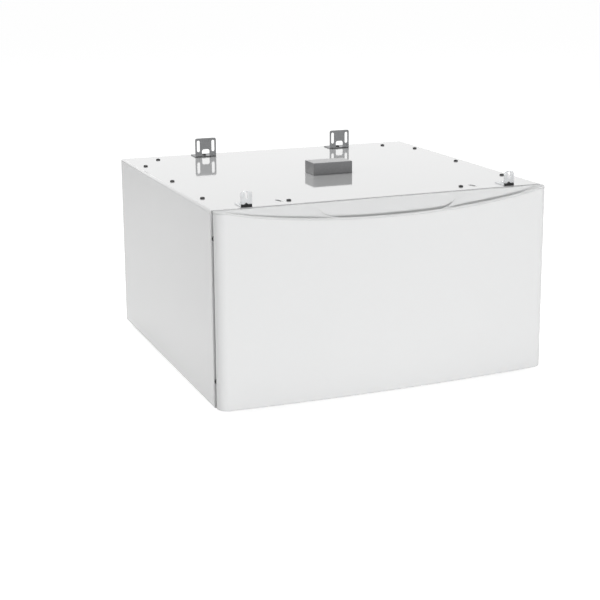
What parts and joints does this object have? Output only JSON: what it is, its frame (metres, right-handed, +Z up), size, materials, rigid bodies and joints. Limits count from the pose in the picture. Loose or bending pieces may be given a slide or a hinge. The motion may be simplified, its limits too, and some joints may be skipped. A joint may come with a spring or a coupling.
{
  "type": "washer pedestal drawer",
  "caption": "Free-standing laundry pedestal: a white sheet-steel cabinet with one bow-fronted drawer on telescopic slides, levelling feet and brackets for a washer or dryer.",
  "frame": {"origin": "on the floor, under the middle of the pedestal's box", "axes": "+X to the pedestal's right-hand side seen from the front, +Y from the drawer front to the back, +Z up"},
  "size_m": [0.6858, 0.6716, 0.423],
  "materials": {
    "white_enamel": "high gloss",
    "white_moulding": "high gloss",
    "galvanized_steel": "dull, mottled",
    "bright_zinc": "satin",
    "black_screw": "satin",
    "black_rubber": "matt",
    "grey_foam": "matt, fine cells"
  },
  "bodies": {
    "cabinet": {"cabinet_wrapper": "white_enamel", "back_panel": "white_enamel", "left_base_rail": "galvanized_steel", "right_base_rail": "galvanized_steel", "front_base_rail": "galvanized_steel", "rear_base_rail": "galvanized_steel", "front_top_rail": "galvanized_steel", "rear_top_rail": "galvanized_steel", "left_top_rail": "galvanized_steel", "right_top_rail": "galvanized_steel", "left_deck_stiffener": "galvanized_steel", "right_deck_stiffener": "galvanized_steel", "left_front_post": "galvanized_steel", "left_rear_post": "galvanized_steel", "right_front_post": "galvanized_steel", "right_rear_post": "galvanized_steel", "deck_screws": "black_screw", "back_panel_screws": "bright_zinc", "left_slide_outer": "bright_zinc", "right_slide_outer": "bright_zinc", "slide_screws": "bright_zinc", "left_rear_bracket": "galvanized_steel", "right_rear_bracket": "galvanized_steel", "rear_bracket_screws": "black_screw", "left_front_bracket": "bright_zinc", "right_front_bracket": "bright_zinc", "front_bracket_pads": "black_rubber", "front_bracket_screws": "bright_zinc", "drawer_bumpers": "black_rubber", "foot_weld_nuts": "bright_zinc", "foot_lock_nuts": "bright_zinc"},
    "foam_block": {"foam_block": "grey_foam"},
    "drawer": {"left_slide_inner": "bright_zinc", "right_slide_inner": "bright_zinc", "drawer_front_skin": "white_enamel", "drawer_grip": "white_moulding", "drawer_front_liner": "white_enamel", "drawer_left_side": "white_enamel", "drawer_right_side": "white_enamel", "drawer_back": "white_enamel", "drawer_bottom": "white_enamel", "drawer_rivets": "bright_zinc", "drawer_front_screws": "bright_zinc", "front_liner_screws": "bright_zinc"},
    "front_left_foot": {"front_left_pad": "black_rubber", "front_left_stem": "bright_zinc"},
    "front_right_foot": {"front_right_pad": "black_rubber", "front_right_stem": "bright_zinc"},
    "rear_left_foot": {"rear_left_pad": "black_rubber", "rear_left_stem": "bright_zinc"},
    "rear_right_foot": {"rear_right_pad": "black_rubber", "rear_right_stem": "bright_zinc"},
    "left_slide_middle": {"left_slide_middle": "bright_zinc"},
    "left_outer_cage": {"left_outer_cage": "bright_zinc"},
    "left_inner_cage": {"left_inner_cage": "bright_zinc"},
    "right_slide_middle": {"right_slide_middle": "bright_zinc"},
    "right_outer_cage": {"right_outer_cage": "bright_zinc"},
    "right_inner_cage": {"right_inner_cage": "bright_zinc"}
  },
  "joints": [
    {"name": "drawer_slide", "type": "slide", "parent": "cabinet", "child": "drawer", "axis": [0, -1, 0], "range_m": [0, 0.48]},
    {"name": "foam_block_lift", "type": "slide", "parent": "cabinet", "child": "foam_block", "axis": [0, 0, 1], "range_m": [0, 0.1]},
    {"name": "left_slide_middle_slide", "type": "slide", "parent": "cabinet", "child": "left_slide_middle", "axis": [0, -1, 0], "range_m": [0, 0.24]},
    {"name": "left_outer_cage_slide", "type": "slide", "parent": "cabinet", "child": "left_outer_cage", "axis": [0, -1, 0], "range_m": [0, 0.12]},
    {"name": "left_inner_cage_slide", "type": "slide", "parent": "cabinet", "child": "left_inner_cage", "axis": [0, -1, 0], "range_m": [0, 0.36]},
    {"name": "right_slide_middle_slide", "type": "slide", "parent": "cabinet", "child": "right_slide_middle", "axis": [0, -1, 0], "range_m": [0, 0.24]},
    {"name": "right_outer_cage_slide", "type": "slide", "parent": "cabinet", "child": "right_outer_cage", "axis": [0, -1, 0], "range_m": [0, 0.12]},
    {"name": "right_inner_cage_slide", "type": "slide", "parent": "cabinet", "child": "right_inner_cage", "axis": [0, -1, 0], "range_m": [0, 0.36]},
    {"name": "front_left_foot_height", "type": "slide", "parent": "cabinet", "child": "front_left_foot", "axis": [0, 0, -1], "range_m": [0, 0.016]},
    {"name": "front_right_foot_height", "type": "slide", "parent": "cabinet", "child": "front_right_foot", "axis": [0, 0, -1], "range_m": [0, 0.016]},
    {"name": "rear_left_foot_height", "type": "slide", "parent": "cabinet", "child": "rear_left_foot", "axis": [0, 0, -1], "range_m": [0, 0.016]},
    {"name": "rear_right_foot_height", "type": "slide", "parent": "cabinet", "child": "rear_right_foot", "axis": [0, 0, -1], "range_m": [0, 0.016]}
  ],
  "couplings": [
    {"joint": "left_slide_middle_slide", "follows": "drawer_slide", "ratio": 0.5},
    {"joint": "left_outer_cage_slide", "follows": "drawer_slide", "ratio": 0.25},
    {"joint": "left_inner_cage_slide", "follows": "drawer_slide", "ratio": 0.75},
    {"joint": "right_slide_middle_slide", "follows": "drawer_slide", "ratio": 0.5},
    {"joint": "right_outer_cage_slide", "follows": "drawer_slide", "ratio": 0.25},
    {"joint": "right_inner_cage_slide", "follows": "drawer_slide", "ratio": 0.75}
  ]
}
